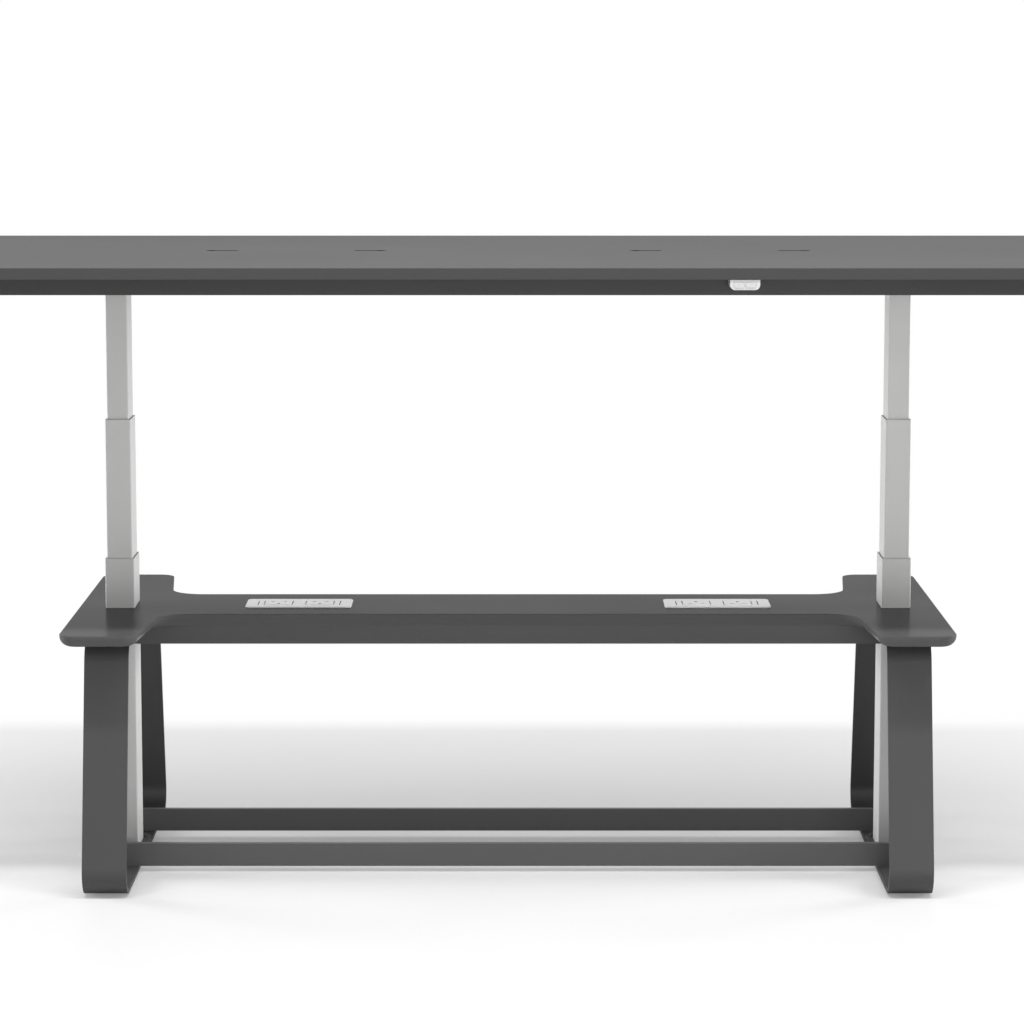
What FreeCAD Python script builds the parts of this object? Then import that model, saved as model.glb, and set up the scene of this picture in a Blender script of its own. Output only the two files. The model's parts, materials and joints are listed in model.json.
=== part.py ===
import FreeCAD, Part
import math
import os

from FreeCAD import Vector

# Height-adjustable meeting table. Millimetres, +Z up, +X along the length.
# The origin is on the floor below the middle of the table.
# The front, with the handset, faces -Y.

# Shared clearances
fit_gap = 0.1
running_gap = 0.3
assembly_gap = 1.0

# Tabletop
top_length = 2400.0
top_depth = 1000.0
top_thick = 20.0
top_height = 1120.0
top_corner = 25.0
top_edge_round = 1.5

# Cable slots on the tabletop's centreline
slot_inner_x = 251.0
slot_outer_x = 519.5
slot_length = 55.0
slot_width = 10.0
slot_eye = 17.0
liner_wall = 1.0
liner_lip = 1.6
liner_lip_height = 0.8

# Frame under the tabletop
apron_setback = 50.0
apron_height = 29.0
apron_width = 30.0
apron_wall = 2.0
cap_flange = 2.0
cap_plug = 10.0
cross_width = 30.0
cross_offset = 52.0
head_plate_depth = 150.0
head_plate_thick = 6.0
head_bolt_y = 55.0
top_screw_y = (150.0, 330.0)
top_screw_bite = 12.0

# Columns, three stages each
column_x = 709.8
inner_width = 39.0
inner_depth = 78.0
tube_wall = 2.0
glide_gap = 1.5
tube_corner = 2.5
outer_rim = 560.0
mid_lead = 5.0
mid_overlap = 175.0
inner_overlap = 175.0
lift_up = 130.0
glide_height = 24.0
glide_sink = 1.0

# Drive in each column
foot_plate_width = 76.0
foot_plate_depth = 140.0
foot_plate_thick = 8.0
foot_bolt_x = 25.0
foot_bolt_y = 57.0
motor_diameter = 42.0
motor_height = 90.0
gear_diameter = 46.0
gear_height = 28.0
journal_diameter = 8.0
journal_depth = 15.0
screw_diameter = 12.0
screw_end = 3.0
hollow_diameter = 22.0
hollow_bore = 16.0
hollow_nut_length = 20.0
collar_diameter = 30.0
collar_height = 3.0
bulkhead_thick = 12.0
inner_nut_height = 18.0

# Deck between the columns
deck_top = 469.5
deck_thick = 21.0
deck_half_length = 785.0
deck_half_depth = 359.0
deck_inner_front = 649.5
deck_inner_root = 628.0
beam_half_depth = 115.0
deck_corner = 30.0
deck_root_radius = 62.0
deck_edge_face = 1.5
beam_under_round = 1.0
deck_edge_round = 1.0

# Cable trough under the beam
trough_height = 33.8
trough_sheet = 2.0
trough_recess = 1.0
trough_lip = 17.0
trough_screw_x = (120.0, 580.0)

# Leg loops of bent flat bar
bar_width = 78.0
bar_thick = 8.0
loop_floor_y = 372.5
loop_splay = 0.2355
loop_floor_radius = 43.0
loop_top_radius = 48.0
deck_screw_y = (100.0, 200.0)

# Floor glides and foot rails
floor_glide_height = 3.0
floor_glide_diameter = 30.0
floor_glide_y = 280.0
rail_y = 143.5
rail_thick = 12.0
rail_height = 42.0
rail_overhang = 30.0

# Power modules in the beam
module_x = 384.5
fascia_length = 194.5
fascia_depth = 92.0
fascia_thick = 2.0
fascia_corner = 10.0
fascia_overlap = 8.0
seam_x = 75.0
seam_width = 1.6
housing_depth = 45.0
housing_wall = 2.0
housing_corner = 4.0
socket_x = 38.0
socket_size = 49.4
socket_side_gap = 2.0
socket_corner = 4.0
socket_rise = 0.4
socket_height = 10.0
socket_flange = 4.0
socket_flange_thick = 3.0
pin_spacing = 22.2
pin_width = 7.2
pin_height = 4.8
earth_width = 4.8
earth_height = 8.8
contact_wall = 1.0
contact_depth = 14.0

# Handset below the front edge
handset_x = 398.5
handset_width = 50.5
handset_height = 17.0
handset_inset = 2.0
handset_depth = 46.0
handset_wall = 2.0
handset_round = 8.5
button_width = 17.0
button_height = 9.0
button_spacing = 20.0
button_proud = 1.0
button_travel = 0.8
button_flange = 1.2
button_flange_thick = 1.0
button_corner = 2.0
arrow_size = 4.0
arrow_sink = 0.3
board_thick = 1.6
handset_boss = 11.0
handset_boss_x = 17.0
handset_boss_y = 32.0

# Control box under the tabletop
control_x = 0.0
control_y = 250.0
control_length = 240.0
control_depth = 110.0
control_height = 26.0
control_wall = 2.5
control_ear = 18.0
control_post = 8.0
control_post_inset = 14.0
control_post_height = 6.0
control_port_width = 16.0
control_port_height = 9.0
control_port_pitch = 42.0
control_port_count = 4
chip_size = 42.0
chip_height = 6.0

# Fasteners
bolt_shank = 8.0
bolt_head = 13.0
bolt_head_height = 5.0
bolt_key = 5.0
bolt_key_depth = 2.5
wood_screw_shank = 5.0
wood_screw_head = 10.0
wood_screw_head_height = 3.0
deck_screw_shank = 6.0
deck_screw_head = 12.0
deck_screw_head_height = 4.0
deck_screw_bite = 12.0
small_screw_shank = 3.5
small_screw_head = 7.0
small_screw_head_height = 2.0
small_screw_seat = 3.0
small_screw_bite = 9.0

# Levels and sizes worked out from the values above
top_under = top_height - top_thick
lip_seat = top_height - liner_lip_height
apron_bottom = top_under - apron_height
head_plate_bottom = apron_bottom - head_plate_thick
apron_x = top_length / 2 - apron_setback
apron_y = top_depth / 2 - apron_setback
mid_width = inner_width + 2 * (tube_wall + glide_gap)
mid_depth = inner_depth + 2 * (tube_wall + glide_gap)
outer_width = mid_width + 2 * (tube_wall + glide_gap)
outer_depth = mid_depth + 2 * (tube_wall + glide_gap)
deck_under = deck_top - deck_thick
deck_under_round = deck_thick - deck_edge_round - deck_edge_face
bar_floor = floor_glide_height + bar_thick
foot_plate_top = bar_floor + foot_plate_thick
motor_top = foot_plate_top + motor_height + gear_height
stages_show = head_plate_bottom - outer_rim
mid_rim = outer_rim + (stages_show + mid_lead) / 2
mid_bottom = outer_rim - mid_overlap
inner_bottom = mid_rim - inner_overlap
screw_top = mid_bottom + hollow_nut_length + lift_up / 2 + screw_end
hollow_top = inner_bottom + inner_nut_height + lift_up / 2 + screw_end
trough_bottom = deck_under - trough_height
trough_y = beam_half_depth - trough_recess
housing_length = fascia_length - 2 * fascia_overlap
housing_width = fascia_depth - 2 * fascia_overlap
fascia_top = deck_top + fascia_thick
socket_bottom = fascia_top + socket_rise - socket_height
handset_front = -top_depth / 2 + handset_inset
handset_bottom = top_under - handset_height
sides = (("left", -1), ("right", 1))


def box(x0, x1, y0, y1, z0, z1):
    return Part.makeBox(x1 - x0, y1 - y0, z1 - z0, Vector(x0, y0, z0))


def block(x, y, width, depth, z0, z1):
    return box(x - width / 2, x + width / 2, y - depth / 2, y + depth / 2, z0, z1)


def disc(x, y, diameter, z0, z1):
    return Part.makeCylinder(diameter / 2, z1 - z0, Vector(x, y, z0))


def join(pieces):
    return pieces[0].multiFuse(pieces[1:]).removeSplitter()


def cut(shape, tools):
    return shape.cut(tools).removeSplitter()


def rounded_wire(points, radii):
    """A closed outline through flat points, with each corner rounded by its radius."""
    count = len(points)
    starts = []
    edges = []
    for i in range(count):
        here = points[i]
        back = (points[i - 1] - here).normalize()
        ahead = (points[(i + 1) % count] - here).normalize()
        half = math.acos(max(-1.0, min(1.0, back.dot(ahead)))) / 2
        reach = radii[i] / math.tan(half)
        inward = (back + ahead).normalize()
        middle = here + inward * (radii[i] / math.sin(half) - radii[i])
        starts.append((here + back * reach, middle, here + ahead * reach))
    for i in range(count):
        first, middle, last = starts[i]
        following = starts[(i + 1) % count][0]
        if radii[i] > 0:
            edges.append(Part.Arc(first, middle, last).toShape())
        edges.append(Part.makeLine(last, following))
    return Part.Wire(edges)


def prism(points, radii, direction):
    return Part.Face(rounded_wire(points, radii)).extrude(direction)


def round_block(x, y, width, depth, radius, z0, z1):
    corners = ((-1, -1), (1, -1), (1, 1), (-1, 1))
    points = [Vector(x + a * width / 2, y + b * depth / 2, z0) for a, b in corners]
    return prism(points, [radius] * len(points), Vector(0, 0, z1 - z0))


def level_edges(shape, z):
    """Edges that lie flat at one height."""
    return [e for e in shape.Edges if abs(e.BoundBox.ZMin - z) < 1e-6 and abs(e.BoundBox.ZMax - z) < 1e-6]


def save(name, shape):
    shape.exportStep("parts/" + name + ".step")


def group(name, shapes):
    save(name, Part.makeCompound(shapes))


# Fasteners: each one points up from the underside of its head seat
def bolt(x, y, seat, length):
    """Cap bolt whose head rests below the seat and whose shank rises."""
    head = disc(x, y, bolt_head, seat - bolt_head_height, seat)
    key = disc(x, y, bolt_key, seat - bolt_head_height, seat - bolt_head_height + bolt_key_depth)
    return cut(join([head, disc(x, y, bolt_shank, seat, seat + length)]), [key])


def hanging_bolt(x, y, seat, length):
    """Cap bolt whose head stands on the seat and whose shank goes down."""
    head = disc(x, y, bolt_head, seat, seat + bolt_head_height)
    key = disc(x, y, bolt_key, seat + bolt_head_height - bolt_key_depth, seat + bolt_head_height)
    return cut(join([head, disc(x, y, bolt_shank, seat - length, seat)]), [key])


def screw(x, y, seat, length, shank, head, head_height):
    return join([disc(x, y, head, seat - head_height, seat), disc(x, y, shank, seat, seat + length)])


def hole(x, y, shank, z0, z1):
    return disc(x, y, shank + 2 * fit_gap, z0, z1)


# Places of the fasteners
def foot_bolt_places(side):
    return [(side * column_x + a * foot_bolt_x, b * foot_bolt_y) for a in (-1, 1) for b in (-1, 1)]


def head_bolt_places(side):
    return [(side * column_x + a * cross_offset, b * head_bolt_y) for a in (-1, 1) for b in (-1, 1)]


def top_screw_places(side):
    rows = [b * y for y in top_screw_y for b in (-1, 1)]
    return [(side * column_x + a * cross_offset, y) for a in (-1, 1) for y in rows]


def deck_screw_places(side):
    return [(side * column_x, b * y) for y in deck_screw_y for b in (-1, 1)]


def trough_screw_places():
    inset = trough_sheet + (trough_lip - trough_sheet) / 2
    return [(a * x, b * (trough_y - inset)) for x in trough_screw_x for a in (-1, 1) for b in (-1, 1)]


def control_screw_places():
    reach = control_length / 2 + control_ear / 2
    rows = control_depth / 2 - control_ear / 2
    return [(control_x + a * reach, control_y + b * rows) for a in (-1, 1) for b in (-1, 1)]


def handset_screw_places():
    return [(handset_x + a * handset_boss_x, handset_front + handset_boss_y) for a in (-1, 1)]


def small_screw_places():
    return control_screw_places() + handset_screw_places()


def slot_places():
    """Place of each slot and the way its eye faces: towards the middle on the inner slots."""
    return [place for a in (-1, 1) for place in ((a * slot_inner_x, -a), (a * slot_outer_x, a))]


# Tabletop and its cable slots
def keyhole(x, outward, grow, z0, z1):
    """Slot along X with a wider round end on one side."""
    width = slot_width + 2 * grow
    reach = slot_length / 2
    eye_x = x + outward * (reach - slot_eye / 2)
    tail_x = x - outward * (reach - slot_width / 2)
    stem = box(min(eye_x, tail_x), max(eye_x, tail_x), -width / 2, width / 2, z0, z1)
    return join([stem, disc(tail_x, 0, width, z0, z1), disc(eye_x, 0, slot_eye + 2 * grow, z0, z1)])


def tabletop():
    panel = round_block(0, 0, top_length, top_depth, top_corner, top_under, top_height)
    rim = level_edges(panel, top_height) + level_edges(panel, top_under)
    panel = panel.makeFillet(top_edge_round, rim)
    tools = []
    for x, outward in slot_places():
        tools.append(keyhole(x, outward, liner_wall + fit_gap, top_under, top_height))
        tools.append(keyhole(x, outward, liner_wall + liner_lip + fit_gap, lip_seat, top_height))
    for name, side in sides:
        for x, y in top_screw_places(side):
            tools.append(hole(x, y, wood_screw_shank, top_under, top_under + top_screw_bite + fit_gap))
    for x, y in small_screw_places():
        tools.append(hole(x, y, small_screw_shank, top_under, top_under + small_screw_bite + fit_gap))
    return cut(panel, tools)


def slot_liner(x, outward):
    sleeve = keyhole(x, outward, liner_wall, top_under, top_height)
    lip = keyhole(x, outward, liner_wall + liner_lip, lip_seat, top_height)
    bore = keyhole(x, outward, 0, top_under, top_height)
    return cut(join([sleeve, lip]), [bore])


# Frame under the tabletop
def bar_tube(x0, x1, y0, y1, along_x):
    """Rectangular tube of the frame, open at both ends."""
    w = apron_wall
    solid = box(x0, x1, y0, y1, apron_bottom, top_under)
    if along_x:
        return solid.cut(box(x0, x1, y0 + w, y1 - w, apron_bottom + w, top_under - w))
    return solid.cut(box(x0 + w, x1 - w, y0, y1, apron_bottom + w, top_under - w))


def apron_long(front):
    low = -apron_y if front else apron_y - apron_width
    reach = apron_x - cap_flange
    return bar_tube(-reach, reach, low, low + apron_width, True)


def apron_cap(side, row):
    """Plug that closes one end of a long rail."""
    seat = side * (apron_x - cap_flange)
    flange = [seat, side * apron_x]
    stem = [seat, seat - side * cap_plug]
    y = row * (apron_y - apron_width / 2)
    inset = apron_wall + fit_gap
    full = apron_width / 2
    half = full - inset
    return join([box(min(flange), max(flange), y - full, y + full, apron_bottom, top_under),
                 box(min(stem), max(stem), y - half, y + half, apron_bottom + inset, top_under - inset)])


def apron_end(side):
    inner = apron_y - apron_width
    low = -apron_x if side < 0 else apron_x - apron_width
    return bar_tube(low, low + apron_width, -inner, inner, False)


def cross_frame(side):
    """The two rails that carry one column's head."""
    inner = apron_y - apron_width
    rails = []
    for a in (-1, 1):
        x = side * column_x + a * cross_offset
        rails.append(bar_tube(x - cross_width / 2, x + cross_width / 2, -inner, inner, False))
    tools = [hole(x, y, wood_screw_shank, apron_bottom, top_under) for x, y in top_screw_places(side)]
    walls = apron_bottom + apron_wall
    tools += [hole(x, y, bolt_shank, apron_bottom, walls) for x, y in head_bolt_places(side)]
    return Part.makeCompound([rail.cut(tools) for rail in rails])


def head_plate(side):
    width = 2 * cross_offset + cross_width
    plate = round_block(side * column_x, 0, width, head_plate_depth, tube_corner, head_plate_bottom,
                        apron_bottom)
    tools = [hole(x, y, bolt_shank, head_plate_bottom, apron_bottom) for x, y in head_bolt_places(side)]
    return cut(plate, tools)


# Columns
def column_hole(side, z0, z1):
    """Clearance for a column through the deck or a leg loop."""
    return round_block(side * column_x, 0, outer_width + 2 * assembly_gap, outer_depth + 2 * assembly_gap,
                       tube_corner + assembly_gap, z0, z1)


def plug(x, width, depth, z0, z1):
    """Block that fills a stage's bore."""
    return round_block(x, 0, width - 2 * tube_wall, depth - 2 * tube_wall, tube_corner - tube_wall, z0, z1)


def stage(x, width, depth, z0, z1):
    return round_block(x, 0, width, depth, tube_corner, z0, z1).cut(plug(x, width, depth, z0, z1))


def glide(x, width, depth, rim):
    """Plastic sleeve that lines the mouth of a stage and guides the next one."""
    low = rim - glide_sink - glide_height
    high = rim - glide_sink
    outline = plug(x, width, depth, low, high)
    step = 2 * (tube_wall + glide_gap - running_gap)
    bore = round_block(x, 0, width - step, depth - step, tube_corner + running_gap, low, high)
    return outline.cut(bore)


def foot_plate(side):
    x = side * column_x
    plate = round_block(x, 0, foot_plate_width, foot_plate_depth, tube_corner, bar_floor, foot_plate_top)
    return cut(plate, [hole(a, b, bolt_shank, bar_floor, foot_plate_top) for a, b in foot_bolt_places(side)])


def motor(side):
    x = side * column_x
    case = disc(x, 0, motor_diameter, foot_plate_top, foot_plate_top + motor_height)
    gear = disc(x, 0, gear_diameter, foot_plate_top + motor_height, motor_top)
    bore = disc(x, 0, journal_diameter + 2 * running_gap, motor_top - journal_depth - running_gap, motor_top)
    return cut(join([case, gear]), [bore])


def lift_screw(side):
    """Solid lower screw, turned by the gear motor. Its thread is drawn as a plain rod."""
    x = side * column_x
    low = motor_top + running_gap
    return join([disc(x, 0, journal_diameter, motor_top - journal_depth, low),
                 disc(x, 0, screw_diameter, low, screw_top)])


def hollow_screw(side):
    """Hollow upper screw with the lower screw's nut in its foot."""
    x = side * column_x
    collar_low = mid_bottom + bulkhead_thick + running_gap
    rod = disc(x, 0, hollow_diameter, mid_bottom, hollow_top)
    collar = disc(x, 0, collar_diameter, collar_low, collar_low + collar_height)
    nut_bore = disc(x, 0, screw_diameter + 2 * running_gap, mid_bottom, mid_bottom + hollow_nut_length)
    bore = disc(x, 0, hollow_bore, mid_bottom + hollow_nut_length, hollow_top)
    return cut(join([rod, collar]), [nut_bore, bore])


def screw_guide(x, width, depth, z0, z1):
    """Block in a stage's foot with a running bore for the hollow screw."""
    bore = disc(x, 0, hollow_diameter + 2 * running_gap, z0, z1)
    return plug(x, width, depth, z0, z1).cut(bore)


# Deck, trough and power modules
def under_radius(point):
    """Radius of the deck's lower edge at one point of its outline."""
    if abs(point.y) < beam_half_depth + fit_gap:
        return beam_under_round
    return deck_under_round


def round_under(panel):
    """Lower edge of the deck: well rounded on the platforms, nearly square along the beam."""
    radii = []
    for number, edge in enumerate(panel.Edges, 1):
        if edge.BoundBox.ZMax < deck_under + deck_edge_round:
            first = edge.valueAt(edge.FirstParameter)
            last = edge.valueAt(edge.LastParameter)
            radii.append((number, under_radius(first), under_radius(last)))
    document = FreeCAD.newDocument()
    sharp = document.addObject("Part::Feature", "sharp_panel")
    sharp.Shape = panel
    rounded = document.addObject("Part::Fillet", "rounded_panel")
    rounded.Base = sharp
    rounded.Edges = radii
    document.recompute()
    return rounded.Shape.Solids[0]


def deck():
    quarter = [(deck_inner_root, beam_half_depth, deck_root_radius),
               (deck_inner_front, deck_half_depth, deck_corner),
               (deck_half_length, deck_half_depth, deck_corner)]
    outline = [(-x, -y, r) for x, y, r in reversed(quarter)]
    outline += [(x, -y, r) for x, y, r in quarter]
    outline += [(x, y, r) for x, y, r in reversed(quarter)]
    outline += [(-x, y, r) for x, y, r in quarter]
    points = [Vector(x, y, deck_under) for x, y, r in outline]
    panel = prism(points, [r for x, y, r in outline], Vector(0, 0, deck_thick))
    panel = round_under(panel)
    panel = panel.makeFillet(deck_edge_round, level_edges(panel, deck_top))
    tools = []
    for name, side in sides:
        tools.append(column_hole(side, deck_under, deck_top))
        tools.append(round_block(side * module_x, 0, housing_length + 2 * assembly_gap,
                                 housing_width + 2 * assembly_gap, housing_corner + assembly_gap,
                                 deck_under, deck_top))
        for a, b in deck_screw_places(side):
            tools.append(hole(a, b, deck_screw_shank, deck_under, deck_under + deck_screw_bite + fit_gap))
    for a, b in trough_screw_places():
        tools.append(hole(a, b, small_screw_shank, deck_under, deck_under + small_screw_bite + fit_gap))
    return cut(panel, tools)


def cable_trough():
    """Folded channel under the beam. Its ends pass below the leg loops to the columns."""
    end = column_x - outer_width / 2
    shoulder = column_x - bar_width / 2 - assembly_gap
    under_bar = deck_under - bar_thick
    sheet = trough_sheet
    pieces = [box(-end, end, -trough_y, trough_y, trough_bottom, trough_bottom + sheet)]
    for a in (-1, 1):
        wall = [a * trough_y, a * (trough_y - sheet)]
        lip = [a * trough_y, a * (trough_y - trough_lip)]
        pieces.append(box(-end, end, min(wall), max(wall), trough_bottom, under_bar))
        pieces.append(box(-shoulder, shoulder, min(wall), max(wall), under_bar, deck_under))
        pieces.append(box(-shoulder, shoulder, min(lip), max(lip), deck_under - sheet, deck_under))
        tab = [a * end, a * (end - sheet)]
        pieces.append(box(min(tab), max(tab), -trough_y, trough_y, trough_bottom, under_bar))
    tools = [hole(x, y, small_screw_shank, deck_under - sheet, deck_under) for x, y in trough_screw_places()]
    return cut(join(pieces), tools)


def fascia(side):
    x = side * module_x
    plate = round_block(x, 0, fascia_length, fascia_depth, fascia_corner, deck_top, fascia_top)
    plate = plate.makeFillet(fascia_thick / 2, level_edges(plate, fascia_top))
    tools = []
    for a in (-1, 1):
        tools.append(round_block(x + a * socket_x, 0, socket_size + 2 * socket_side_gap,
                                 socket_size + 2 * fit_gap, socket_corner, deck_top, fascia_top))
        tools.append(block(x + a * seam_x, 0, seam_width, socket_size, deck_top, fascia_top))
    return cut(plate, tools)


def housing(side):
    x = side * module_x
    low = deck_top - housing_depth
    shell = round_block(x, 0, housing_length, housing_width, housing_corner, low, deck_top)
    inside = 2 * housing_wall
    return shell.cut(round_block(x, 0, housing_length - inside, housing_width - inside,
                                 housing_corner - housing_wall, low + housing_wall, deck_top))


def pin_places(side):
    """Pin holes of one module: place, width and height. The earth pin faces outwards by side."""
    places = []
    for a in (-1, 1):
        x = side * module_x + a * socket_x
        for b in (-1, 1):
            places.append((x + b * pin_spacing / 2, -side * pin_spacing / 2, pin_width, pin_height))
        places.append((x, side * pin_spacing / 2, earth_width, earth_height))
    return places


def sockets(side):
    inserts = []
    high = fascia_top + socket_rise
    holes = [block(x, y, w, h, socket_bottom, high) for x, y, w, h in pin_places(side)]
    for a in (-1, 1):
        x = side * module_x + a * socket_x
        face = round_block(x, 0, socket_size, socket_size, socket_corner, socket_bottom, high)
        wide = socket_size + 2 * socket_flange
        flange = round_block(x, 0, wide, wide, socket_corner, deck_top - socket_flange_thick, deck_top)
        inserts.append(cut(join([face, flange]), holes))
    return inserts


def contacts(side):
    clips = []
    low = socket_bottom - contact_depth
    for x, y, w, h in pin_places(side):
        sleeve = block(x, y, w + 2 * contact_wall, h + 2 * contact_wall, low, socket_bottom)
        clips.append(sleeve.cut(block(x, y, w, h, low, socket_bottom)))
    return clips


# Legs, rails and glides
def loop_outline(inset):
    """Splayed ring outline in the YZ plane, set in evenly from the outer faces."""
    low = floor_glide_height + inset
    high = deck_under - inset
    slant = inset * math.hypot(1, loop_splay)
    foot = loop_floor_y - loop_splay * (low - floor_glide_height) - slant
    head = loop_floor_y - loop_splay * (high - floor_glide_height) - slant
    return [(-foot, low), (foot, low), (head, high), (-head, high)]


def leg_loop(side):
    x0 = side * column_x - bar_width / 2
    along = Vector(bar_width, 0, 0)
    radii = [loop_floor_radius, loop_floor_radius, loop_top_radius, loop_top_radius]
    outer = prism([Vector(x0, y, z) for y, z in loop_outline(0)], radii, along)
    inner_radii = [r - bar_thick for r in radii]
    inner = prism([Vector(x0, y, z) for y, z in loop_outline(bar_thick)], inner_radii, along)
    under_bar = deck_under - bar_thick
    tools = [inner, column_hole(side, under_bar, deck_under)]
    for x, y in deck_screw_places(side):
        tools.append(hole(x, y, deck_screw_shank, under_bar, deck_under))
    for x, y in foot_bolt_places(side):
        tools.append(hole(x, y, bolt_shank, floor_glide_height, bar_floor))
    return cut(outer, tools)


def foot_rail(row):
    reach = column_x + rail_overhang
    low = row * rail_y - rail_thick / 2
    return box(-reach, reach, low, low + rail_thick, bar_floor, bar_floor + rail_height)


def floor_glides():
    places = [(side * column_x, b * floor_glide_y) for name, side in sides for b in (-1, 1)]
    return [disc(x, y, floor_glide_diameter, 0, floor_glide_height) for x, y in places]


# Handset
def handset_housing():
    left = handset_x - handset_width / 2
    right = handset_x + handset_width / 2
    points = [(left, handset_bottom), (right, handset_bottom), (right, top_under), (left, top_under)]
    radii = [handset_round, handset_round, 0, 0]
    back = Vector(0, handset_depth, 0)
    block = prism([Vector(x, handset_front, z) for x, z in points], radii, back)
    w = handset_wall
    hollow = [(left + w, handset_bottom + w), (right - w, handset_bottom + w), (right - w, top_under),
              (left + w, top_under)]
    hollow_radii = [handset_round - w, handset_round - w, 0, 0]
    inner = prism([Vector(x, handset_front + w, z) for x, z in hollow], hollow_radii,
                  Vector(0, handset_depth - 2 * w, 0))
    shell = block.cut(inner)
    posts = [disc(x, y, handset_boss, handset_bottom + w / 2, top_under) for x, y in handset_screw_places()]
    bosses = [post.common(block) for post in posts]
    tools = [button_body(a, -fit_gap, handset_wall + fit_gap, running_gap) for a in (-1, 1)]
    seat = top_under - small_screw_seat
    for x, y in handset_screw_places():
        tools.append(disc(x, y, small_screw_head + 2 * running_gap, handset_bottom, seat))
        tools.append(hole(x, y, small_screw_shank, seat, top_under))
    return cut(join([shell] + bosses), tools)


def button_body(a, y0, y1, grow):
    """Key shape between two depths behind the handset's front face."""
    x = handset_x + a * button_spacing / 2
    z = handset_bottom + handset_height / 2
    w = button_width / 2 + grow
    h = button_height / 2 + grow
    points = [Vector(x - w, handset_front + y0, z - h), Vector(x + w, handset_front + y0, z - h),
              Vector(x + w, handset_front + y0, z + h), Vector(x - w, handset_front + y0, z + h)]
    return prism(points, [button_corner + grow] * len(points), Vector(0, y1 - y0, 0))


def button(a, up):
    """Key with a retaining flange behind the front wall and a sunk arrow."""
    flange_front = handset_wall + running_gap
    key = button_body(a, -button_proud, flange_front, 0)
    flange = button_body(a, flange_front, flange_front + button_flange_thick, button_flange)
    x = handset_x + a * button_spacing / 2
    z = handset_bottom + handset_height / 2
    face = handset_front - button_proud
    point = arrow_size / 2 if up else -arrow_size / 2
    corners = [Vector(x - arrow_size / 2, face, z - point), Vector(x + arrow_size / 2, face, z - point),
               Vector(x, face, z + point)]
    arrow = Part.Face(Part.makePolygon(corners + corners[:1])).extrude(Vector(0, arrow_sink, 0))
    return cut(join([key, flange]), [arrow])


def handset_board():
    gap = handset_wall + running_gap + button_flange_thick + button_travel + running_gap
    front = handset_front + gap
    inside = handset_width / 2 - handset_wall - handset_round
    return box(handset_x - inside, handset_x + inside, front, front + board_thick,
               handset_bottom + handset_wall, top_under - running_gap)


# Control box
def control_case():
    low = top_under - control_height
    shell = block(control_x, control_y, control_length, control_depth, low, top_under)
    inside = 2 * control_wall
    shell = shell.cut(block(control_x, control_y, control_length - inside, control_depth - inside,
                            low + control_wall, top_under))
    pieces = [shell]
    ear_low = top_under - small_screw_seat
    for a in (-1, 1):
        x = control_x + a * (control_length / 2 + control_ear / 2)
        pieces.append(block(x, control_y, control_ear, control_depth, ear_low, top_under))
    for x, y in control_post_places():
        post_top = low + control_wall + control_post_height
        pieces.append(disc(x, y, control_post, low + control_wall / 2, post_top))
    tools = [hole(x, y, small_screw_shank, ear_low, top_under) for x, y in control_screw_places()]
    front = control_y - control_depth / 2
    port_low = low + control_wall + control_post_height + board_thick
    for x in control_port_places():
        tools.append(box(x - control_port_width / 2, x + control_port_width / 2, front, front + control_wall,
                         port_low, port_low + control_port_height))
    return cut(join(pieces), tools)


def control_post_places():
    reach = control_length / 2 - control_post_inset
    rows = control_depth / 2 - control_post_inset
    return [(control_x + a * reach, control_y + b * rows) for a in (-1, 1) for b in (-1, 1)]


def control_port_places():
    middle = (control_port_count - 1) / 2
    return [control_x + (i - middle) * control_port_pitch for i in range(control_port_count)]


def control_board():
    low = top_under - control_height + control_wall + control_post_height
    high = low + board_thick
    margin = 2 * (control_wall + assembly_gap)
    plate = block(control_x, control_y, control_length - margin, control_depth - margin, low, high)
    chip = block(control_x, control_y, chip_size, chip_size, high, high + chip_height)
    return join([plate, chip])


# Write every piece
os.makedirs("parts", exist_ok=True)

save("tabletop", tabletop())
group("slot_liners", [slot_liner(x, outward) for x, outward in slot_places()])
save("apron_front", apron_long(True))
save("apron_rear", apron_long(False))
group("apron_caps", [apron_cap(side, row) for name, side in sides for row in (-1, 1)])
save("deck_panel", deck())
save("cable_trough", cable_trough())
save("foot_rail_front", foot_rail(-1))
save("foot_rail_rear", foot_rail(1))
group("floor_glides", floor_glides())

for name, side in sides:
    x = side * column_x
    save("apron_" + name, apron_end(side))
    save("cross_frame_" + name, cross_frame(side))
    save("head_plate_" + name, head_plate(side))
    save("inner_tube_" + name, stage(x, inner_width, inner_depth, inner_bottom, head_plate_bottom))
    inner_nut_top = inner_bottom + inner_nut_height
    save("inner_nut_" + name, screw_guide(x, inner_width, inner_depth, inner_bottom, inner_nut_top))
    save("mid_tube_" + name, stage(x, mid_width, mid_depth, mid_bottom, mid_rim))
    save("mid_glide_" + name, glide(x, mid_width, mid_depth, mid_rim))
    bulkhead_top = mid_bottom + bulkhead_thick
    save("mid_bulkhead_" + name, screw_guide(x, mid_width, mid_depth, mid_bottom, bulkhead_top))
    save("outer_tube_" + name, stage(x, outer_width, outer_depth, foot_plate_top, outer_rim))
    save("outer_glide_" + name, glide(x, outer_width, outer_depth, outer_rim))
    save("foot_plate_" + name, foot_plate(side))
    save("motor_" + name, motor(side))
    save("lift_screw_" + name, lift_screw(side))
    save("hollow_screw_" + name, hollow_screw(side))
    save("leg_loop_" + name, leg_loop(side))
    save("power_fascia_" + name, fascia(side))
    save("power_housing_" + name, housing(side))
    group("sockets_" + name, sockets(side))
    group("contacts_" + name, contacts(side))

save("handset_housing", handset_housing())
save("handset_board", handset_board())
save("up_button", button(-1, True))
save("down_button", button(1, False))
save("control_case", control_case())
save("control_board", control_board())

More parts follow.
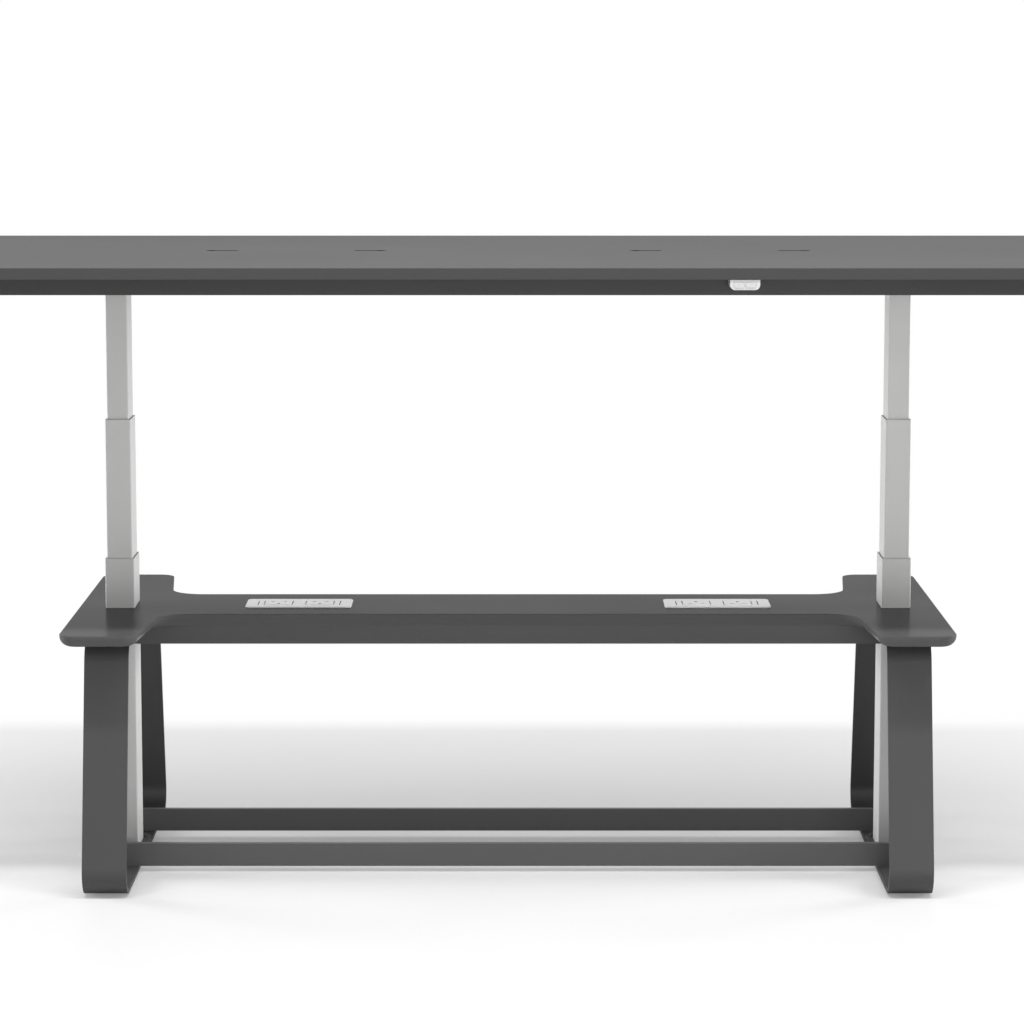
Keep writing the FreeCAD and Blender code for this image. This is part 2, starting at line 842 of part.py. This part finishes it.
foot_length = foot_plate_thick + bar_thick
head_length = head_plate_thick + apron_wall
top_screw_length = apron_height + top_screw_bite
small_length = small_screw_seat + small_screw_bite
foot_bolts = []
head_bolts = []
top_screws = []
deck_screws = []
for name, side in sides:
    foot_bolts += [hanging_bolt(x, y, foot_plate_top, foot_length) for x, y in foot_bolt_places(side)]
    head_bolts += [bolt(x, y, head_plate_bottom, head_length) for x, y in head_bolt_places(side)]
    for x, y in top_screw_places(side):
        top_screws.append(screw(x, y, apron_bottom, top_screw_length, wood_screw_shank, wood_screw_head,
                                wood_screw_head_height))
    for x, y in deck_screw_places(side):
        deck_screws.append(screw(x, y, deck_under - bar_thick, bar_thick + deck_screw_bite, deck_screw_shank,
                                 deck_screw_head, deck_screw_head_height))
small_screws = []
for x, y in small_screw_places():
    small_screws.append(screw(x, y, top_under - small_screw_seat, small_length, small_screw_shank,
                              small_screw_head, small_screw_head_height))
trough_screws = []
for x, y in trough_screw_places():
    trough_screws.append(screw(x, y, deck_under - trough_sheet, trough_sheet + small_screw_bite,
                               small_screw_shank, small_screw_head, small_screw_head_height))
group("foot_bolts", foot_bolts)
group("head_bolts", head_bolts)
group("top_screws", top_screws)
group("deck_screws", deck_screws)
group("small_screws", small_screws)
group("trough_screws", trough_screws)
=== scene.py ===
import json
import math

import bpy
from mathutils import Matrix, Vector


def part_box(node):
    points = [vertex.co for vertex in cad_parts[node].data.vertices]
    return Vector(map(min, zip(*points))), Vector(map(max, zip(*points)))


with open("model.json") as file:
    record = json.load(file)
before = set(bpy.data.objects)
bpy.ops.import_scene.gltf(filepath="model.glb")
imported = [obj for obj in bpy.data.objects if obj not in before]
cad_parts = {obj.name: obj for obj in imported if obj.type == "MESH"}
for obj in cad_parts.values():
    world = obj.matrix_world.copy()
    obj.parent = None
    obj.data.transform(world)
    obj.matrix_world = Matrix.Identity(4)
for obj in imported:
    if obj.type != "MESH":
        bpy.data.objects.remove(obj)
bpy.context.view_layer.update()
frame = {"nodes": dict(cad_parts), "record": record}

nodes = frame["nodes"]
scene = bpy.context.scene
scene.view_settings.view_transform = "Standard"

# Camera of the photograph: place in metres, pitch in degrees, lens and sensor in millimetres
CAMERA_PLACE = (0.0072, -6.3475, 1.4940)
CAMERA_PITCH = 7.66
CAMERA_LENS = 122.59
SENSOR_WIDTH = 36.0

# Linear colours of the finishes
CHARCOAL_PANEL = (0.078, 0.078, 0.079)
CHARCOAL_DECK = (0.071, 0.071, 0.072)
CHARCOAL_STEEL = (0.048, 0.048, 0.049)
# Copies of the frame paint: lighter for the foot rails as painted light, darker for the aprons and trough
# as painted shade
RAIL_STEEL_PAINTED_LIGHT = (0.067, 0.067, 0.068)
APRON_STEEL_PAINTED_SHADE = (0.053, 0.053, 0.054)
TROUGH_STEEL_PAINTED_SHADE = (0.057, 0.057, 0.058)
SILVER = (0.51, 0.51, 0.505)
WHITE = (0.91, 0.91, 0.90)
HANDSET_WHITE = (0.59, 0.59, 0.585)
KEY_WHITE = (0.57, 0.57, 0.57)
BLACK = (0.012, 0.012, 0.012)
GLIDE_GREY = (0.10, 0.10, 0.105)
BRASS = (0.60, 0.42, 0.16)
BOARD_GREEN = (0.01, 0.08, 0.03)
STEEL = (0.45, 0.45, 0.46)
FLOOR = (0.77, 0.77, 0.77)

# Floor in metres: its size, the depths where its painted glow grows and where it turns white, and its
# shares of plain white glow
FLOOR_SIZE = 60.0
FLOOR_PAINTED_GLOW_DEPTHS = (0.50, 1.25)
FLOOR_WHITE = (1.08, 1.36)
FLOOR_PAINTED_GLOW_SHARES = (0.20, 0.58)

# Painted shade on the tabletop's upright edges and painted light on the deck's, against their faces
TOP_EDGE_PAINTED_SHADE = 0.94
DECK_EDGE_PAINTED_LIGHT = 1.31

# Upright part of the normal over which a panel's painted edge tone turns into its face
PAINTED_EDGE_TURN = (0.90, 0.998)

# Values between which most of a noise pattern lies
NOISE_LOW = 0.3
NOISE_HIGH = 0.7

# Speckle and broad mottling of a finish: their shares and detail, and the mottling's scale
SPECKLE_SHARE = 0.65
SPECKLE_DETAIL = 2.0
MOTTLE_SHARE = 0.35
MOTTLE_DETAIL = 3.0
MOTTLE_SCALE = 2.5

# Fine relief of a finish: its detail, and its depth in metres
RELIEF_DETAIL = 3.0
RELIEF_DEPTH = 0.0002

# Relief of the lines in brushed metal: its detail and strength, and its depth in metres
LINE_DETAIL = 2.0
LINE_STRENGTH = 0.15
LINE_DEPTH = 0.0001

# Surroundings: their colour, and their strength as seen by the camera and in reflections, and as light
WORLD_COLOUR = (1.0, 1.0, 1.0, 1.0)
WORLD_SHOWN = 1.0
WORLD_LIGHT = 0.40

# Painted shade in the socket inserts' recesses: the depth where it starts, over which it fades in, and how
# dark
RECESS_DEPTH = 0.0008
RECESS_FADE = 0.0004
RECESS_PAINTED_SHADE = 0.06

# Lamps: name, place, target, size in metres, power in watts, and whether reflections show them
LAMPS = [
    ("front_key", (0.4, -1.65, 4.47), (0.4, -0.28, 0.47), (6.0, 0.3), 200.0, True),
    ("front_fill", (0.8, -6.2, 1.25), (0.0, 0.0, 0.6), (2.0, 1.0), 74.0, True),
    ("left_side", (-7.0, 2.4, 1.0), (0.0, 0.0, 0.9), (3.0, 2.0), 660.0, False),
    ("right_side", (7.0, 2.4, 1.0), (0.0, 0.0, 0.9), (3.0, 2.0), 660.0, False),
]

# Edge rounding of bent and cut metal: widths in metres, steps, and the least angle of an edge in degrees
BAR_BEVEL = 0.0012
SHEET_BEVEL = 0.0005
BEVEL_STEPS = 3
BEVEL_ANGLE = 40.0


def noise(tree, scale, detail, source):
    node = tree.nodes.new("ShaderNodeTexNoise")
    node.inputs["Scale"].default_value = scale
    node.inputs["Detail"].default_value = detail
    tree.links.new(source, node.inputs["Vector"])
    return node.outputs["Fac"]


def map_range(tree, value, low, high, start=NOISE_LOW, end=NOISE_HIGH):
    node = tree.nodes.new("ShaderNodeMapRange")
    node.inputs["From Min"].default_value = start
    node.inputs["From Max"].default_value = end
    node.inputs["To Min"].default_value = low
    node.inputs["To Max"].default_value = high
    tree.links.new(value, node.inputs["Value"])
    return node.outputs["Result"]


def combine(tree, operation, first, second):
    node = tree.nodes.new("ShaderNodeMath")
    node.operation = operation
    tree.links.new(first, node.inputs[0])
    tree.links.new(second, node.inputs[1])
    return node.outputs[0]


def mix_shaders(tree, share, first, second, output):
    """Show the second shader by its share and the first by the rest."""
    mix = tree.nodes.new("ShaderNodeMixShader")
    tree.links.new(share, mix.inputs["Fac"])
    tree.links.new(first, mix.inputs[1])
    tree.links.new(second, mix.inputs[2])
    tree.links.new(mix.outputs["Shader"], tree.nodes[output].inputs["Surface"])


def tint(tree, value, dark, light):
    node = tree.nodes.new("ShaderNodeMix")
    node.data_type = "RGBA"
    node.inputs["A"].default_value = (*dark, 1.0)
    node.inputs["B"].default_value = (*light, 1.0)
    tree.links.new(value, node.inputs["Factor"])
    return node.outputs["Result"]


def shade(colour, factor):
    return tuple(c * factor for c in colour)


def scale_colour(tree, factor):
    """Multiply the base colour by a value that varies over the surface."""
    socket = tree.nodes["Principled BSDF"].inputs["Base Color"]
    node = tree.nodes.new("ShaderNodeVectorMath")
    node.operation = "SCALE"
    tree.links.new(socket.links[0].from_socket, node.inputs[0])
    tree.links.new(factor, node.inputs["Scale"])
    tree.links.new(node.outputs["Vector"], socket)


def part_of(tree, output, axis):
    """One axis of the object's own coordinates or normals."""
    place = tree.nodes.new("ShaderNodeTexCoord").outputs[output]
    axes = tree.nodes.new("ShaderNodeSeparateXYZ")
    tree.links.new(place, axes.inputs["Vector"])
    return axes.outputs[axis]


def painted_edge_light(material, factor):
    """Painted light or shade on a laminated panel's upright edges: a little lighter or darker than its
    faces.
    """
    tree = material.node_tree
    flat = tree.nodes.new("ShaderNodeMath")
    flat.operation = "ABSOLUTE"
    tree.links.new(part_of(tree, "Normal", "Z"), flat.inputs[0])
    scale_colour(tree, map_range(tree, flat.outputs[0], factor, 1.0, *PAINTED_EDGE_TURN))
    return material


def painted_recess_shade(material, level, factor):
    """Painted shade inside a recess: everything below one height is darkened."""
    tree = material.node_tree
    height = part_of(tree, "Object", "Z")
    scale_colour(tree, map_range(tree, height, factor, 1.0, level, level + RECESS_FADE))
    return material


def finish(name, colour, roughness, speckle=600.0, spread=0.08, rough_spread=0.06,
           bump=0.1, bump_scale=700.0, metallic=0.0, specular=0.5):
    """A painted, moulded or laminated surface: speckle, broad mottling, uneven gloss and a fine relief."""
    material = bpy.data.materials.new(name)
    material.use_nodes = True
    tree = material.node_tree
    shader = tree.nodes["Principled BSDF"]
    place = tree.nodes.new("ShaderNodeTexCoord").outputs["Object"]
    fine = noise(tree, speckle, SPECKLE_DETAIL, place)
    broad = noise(tree, MOTTLE_SCALE, MOTTLE_DETAIL, place)
    both = tree.nodes.new("ShaderNodeMath")
    both.operation = "MULTIPLY_ADD"
    both.inputs[1].default_value = MOTTLE_SHARE
    tree.links.new(broad, both.inputs[0])
    fine_part = map_range(tree, fine, 0.0, SPECKLE_SHARE)
    tree.links.new(fine_part, both.inputs[2])
    base = tint(tree, both.outputs[0], shade(colour, 1 - spread), shade(colour, 1 + spread))
    tree.links.new(base, shader.inputs["Base Color"])
    gloss = map_range(tree, broad, roughness - rough_spread, roughness + rough_spread)
    tree.links.new(gloss, shader.inputs["Roughness"])
    relief = tree.nodes.new("ShaderNodeBump")
    relief.inputs["Strength"].default_value = bump
    relief.inputs["Distance"].default_value = RELIEF_DEPTH
    tree.links.new(noise(tree, bump_scale, RELIEF_DETAIL, place), relief.inputs["Height"])
    tree.links.new(relief.outputs["Normal"], shader.inputs["Normal"])
    shader.inputs["Metallic"].default_value = metallic
    shader.inputs["Specular IOR Level"].default_value = specular
    return material


def brushed(name, colour, roughness, stretch):
    """Bright metal with fine lines drawn along one axis."""
    material = finish(name, colour, roughness, metallic=1.0, bump=0.0)
    tree = material.node_tree
    shader = tree.nodes["Principled BSDF"]
    place = tree.nodes.new("ShaderNodeTexCoord").outputs["Object"]
    mapping = tree.nodes.new("ShaderNodeMapping")
    mapping.inputs["Scale"].default_value = stretch
    tree.links.new(place, mapping.inputs["Vector"])
    lines = noise(tree, 1.0, LINE_DETAIL, mapping.outputs["Vector"])
    relief = tree.nodes.new("ShaderNodeBump")
    relief.inputs["Strength"].default_value = LINE_STRENGTH
    relief.inputs["Distance"].default_value = LINE_DEPTH
    tree.links.new(lines, relief.inputs["Height"])
    tree.links.new(relief.outputs["Normal"], shader.inputs["Normal"])
    return material


def laminate(name, colour, edge, roughness, rough_spread, bump, specular):
    """Satin laminate of a panel, with painted light or shade on its upright edges."""
    face = finish(name, colour, roughness, speckle=1400, spread=0.10, rough_spread=rough_spread, bump=bump,
                  bump_scale=1800, specular=specular)
    return painted_edge_light(face, edge)


def powder_coat(name, colour, roughness, specular=0.5):
    """Fine-textured dark paint on steel."""
    return finish(name, colour, roughness, speckle=900, spread=0.10, bump=0.22, bump_scale=900,
                  specular=specular)


def module_plastic(name):
    """Smooth white plastic of the power modules."""
    return finish(name, WHITE, 0.12, spread=0.02, rough_spread=0.03, bump=0.02, bump_scale=1500,
                  specular=1.0)


# Finishes, by the slots of the pieces and by the finer names below
# Height below which the socket inserts are darkened with painted shade
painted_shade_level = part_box("sockets_left")[1][2] - RECESS_DEPTH
materials = {
    # The tabletop's edges get painted shade, the deck's edges painted light
    "charcoal_panel": laminate("charcoal_laminate", CHARCOAL_PANEL, TOP_EDGE_PAINTED_SHADE, roughness=0.45,
                               rough_spread=0.015, bump=0.04, specular=0.020),
    "charcoal_deck": laminate("charcoal_deck_laminate", CHARCOAL_DECK, DECK_EDGE_PAINTED_LIGHT, roughness=0.22,
                              rough_spread=0.03, bump=0.02, specular=0.006),
    "charcoal_steel": powder_coat("charcoal_powder_coat", CHARCOAL_STEEL, 0.50, specular=0.35),
    # Copies of the frame paint: painted light on the foot rails, painted shade on the aprons and trough
    "rail_steel_painted_light": powder_coat("rail_powder_coat_painted_light", RAIL_STEEL_PAINTED_LIGHT, 0.46),
    "apron_steel_painted_shade": powder_coat("apron_powder_coat_painted_shade", APRON_STEEL_PAINTED_SHADE, 0.60, specular=0.25),
    "trough_steel_painted_shade": powder_coat("trough_powder_coat_painted_shade", TROUGH_STEEL_PAINTED_SHADE, 0.50, specular=0.35),
    "silver_steel": finish("silver_powder_coat", SILVER, 0.42, speckle=1600, spread=0.07, bump=0.10,
                           bump_scale=1300, metallic=0.10),
    "white_module": module_plastic("white_module_plastic"),
    # Socket inserts: the module plastic with painted shade in their recesses
    "socket_insert": painted_recess_shade(module_plastic("socket_insert_plastic_with_painted_shade"), painted_shade_level, RECESS_PAINTED_SHADE),
    "white_handset": finish("white_handset_plastic", HANDSET_WHITE, 0.38, spread=0.02, bump=0.08,
                            bump_scale=2200),
    "white_key": finish("white_key_plastic", KEY_WHITE, 0.42, spread=0.02, bump=0.08, bump_scale=2200),
    "black_plastic": finish("black_plastic", BLACK, 0.45, spread=0.15, bump=0.15, bump_scale=1800),
    "slot_liner": finish("slot_liner_plastic", BLACK, 0.60, spread=0.15, bump=0.10, bump_scale=1800,
                         specular=0.02),
    "grey_plastic": finish("glide_plastic", GLIDE_GREY, 0.45, spread=0.08, bump=0.08),
    "contact_brass": brushed("contact_brass", BRASS, 0.28, (300.0, 300.0, 2000.0)),
    "circuit_board": finish("board_lacquer", BOARD_GREEN, 0.35, speckle=250, spread=0.30, bump=0.10),
    "motor_case": finish("motor_paint", BLACK, 0.40, spread=0.12, bump=0.12),
    "bright_steel": brushed("zinc_plated_steel", STEEL, 0.32, (1500.0, 1500.0, 90.0)),
}

# Nodes whose finish differs from the rest of their slot; the foot rails carry painted light, the aprons and
# trough painted shade
FINISH_OF = {
    "deck_panel": "charcoal_deck",
    "cable_trough": "trough_steel_painted_shade",
    "slot_liners": "slot_liner",
    "sockets_left": "socket_insert",
    "sockets_right": "socket_insert",
    "apron_front": "apron_steel_painted_shade",
    "apron_rear": "apron_steel_painted_shade",
    "apron_left": "apron_steel_painted_shade",
    "apron_right": "apron_steel_painted_shade",
    "apron_caps": "apron_steel_painted_shade",
    "foot_rail_front": "rail_steel_painted_light",
    "foot_rail_rear": "rail_steel_painted_light",
    "foot_bolts": "charcoal_steel",
}

slots = {part["node"]: part["material_slot"] for part in frame["record"]["subparts"]}
for name, piece in nodes.items():
    piece.data.materials.clear()
    piece.data.materials.append(materials[FINISH_OF.get(name, slots[name])])


def round_edges(piece, width):
    """Small rounding on the sharp edges of a metal piece."""
    bevel = piece.modifiers.new("edge_round", "BEVEL")
    bevel.width = width
    bevel.segments = BEVEL_STEPS
    bevel.limit_method = "ANGLE"
    bevel.angle_limit = math.radians(BEVEL_ANGLE)
    bevel.harden_normals = True


for name, piece in nodes.items():
    if name.startswith(("leg_loop", "foot_rail", "foot_plate", "head_plate")):
        round_edges(piece, BAR_BEVEL)
    elif name.startswith(("apron", "cross_frame", "cable_trough")):
        round_edges(piece, SHEET_BEVEL)


# Floor, backdrop light and lamps
def floor():
    """Pale floor that glows for the camera, with painted light growing behind the table over its shadow,
    and that fades into the white backdrop.
    """
    bpy.ops.mesh.primitive_plane_add(size=FLOOR_SIZE)
    plane = bpy.context.object
    plane.name = "floor"
    material = finish("floor_paint", FLOOR, 0.6, speckle=40, spread=0.01, bump=0.0)
    plane.data.materials.append(material)
    tree = material.node_tree
    glow = tree.nodes.new("ShaderNodeEmission")
    depth = part_of(tree, "Object", "Y")
    # Painted light: more plain white glow towards the back, over the table's shadow
    pale = map_range(tree, depth, *FLOOR_PAINTED_GLOW_SHARES, *FLOOR_PAINTED_GLOW_DEPTHS)
    white = map_range(tree, depth, 0.0, 1.0, *FLOOR_WHITE)
    path = tree.nodes.new("ShaderNodeLightPath")
    fade = combine(tree, "MAXIMUM", pale, white)
    seen = combine(tree, "MULTIPLY", fade, path.outputs["Is Camera Ray"])
    paint = tree.nodes["Principled BSDF"].outputs["BSDF"]
    mix_shaders(tree, seen, paint, glow.outputs["Emission"], "Material Output")


def backdrop():
    """White surroundings for the camera and for reflections, softer light for everything else."""
    world = bpy.data.worlds.new("studio")
    scene.world = world
    world.use_nodes = True
    tree = world.node_tree
    shown = tree.nodes["Background"]
    light = tree.nodes.new("ShaderNodeBackground")
    shown.inputs["Color"].default_value = WORLD_COLOUR
    shown.inputs["Strength"].default_value = WORLD_SHOWN
    light.inputs["Color"].default_value = WORLD_COLOUR
    light.inputs["Strength"].default_value = WORLD_LIGHT
    path = tree.nodes.new("ShaderNodeLightPath")
    reflected = combine(tree, "MAXIMUM", path.outputs["Is Glossy Ray"], path.outputs["Is Transmission Ray"])
    every = combine(tree, "MAXIMUM", path.outputs["Is Camera Ray"], reflected)
    mix_shaders(tree, every, light.outputs["Background"], shown.outputs["Background"], "World Output")


def lamp(name, place, target, size, power, mirrored):
    """Area lamp, shown in reflections only where it is mirrored."""
    data = bpy.data.lights.new(name, "AREA")
    data.shape = "RECTANGLE"
    data.size, data.size_y = size
    data.energy = power
    piece = bpy.data.objects.new(name, data)
    piece.location = place
    piece.rotation_euler = (Vector(target) - Vector(place)).to_track_quat("-Z", "Y").to_euler()
    piece.visible_glossy = mirrored
    scene.collection.objects.link(piece)


floor()
backdrop()
for lamp_values in LAMPS:
    lamp(*lamp_values)


def camera():
    """Camera that repeats the view of the photograph."""
    data = bpy.data.cameras.new("camera")
    data.lens = CAMERA_LENS
    data.sensor_width = SENSOR_WIDTH
    piece = bpy.data.objects.new("camera", data)
    piece.location = CAMERA_PLACE
    piece.rotation_euler = (math.radians(90.0 - CAMERA_PITCH), 0.0, 0.0)
    scene.collection.objects.link(piece)
    scene.camera = piece


camera()
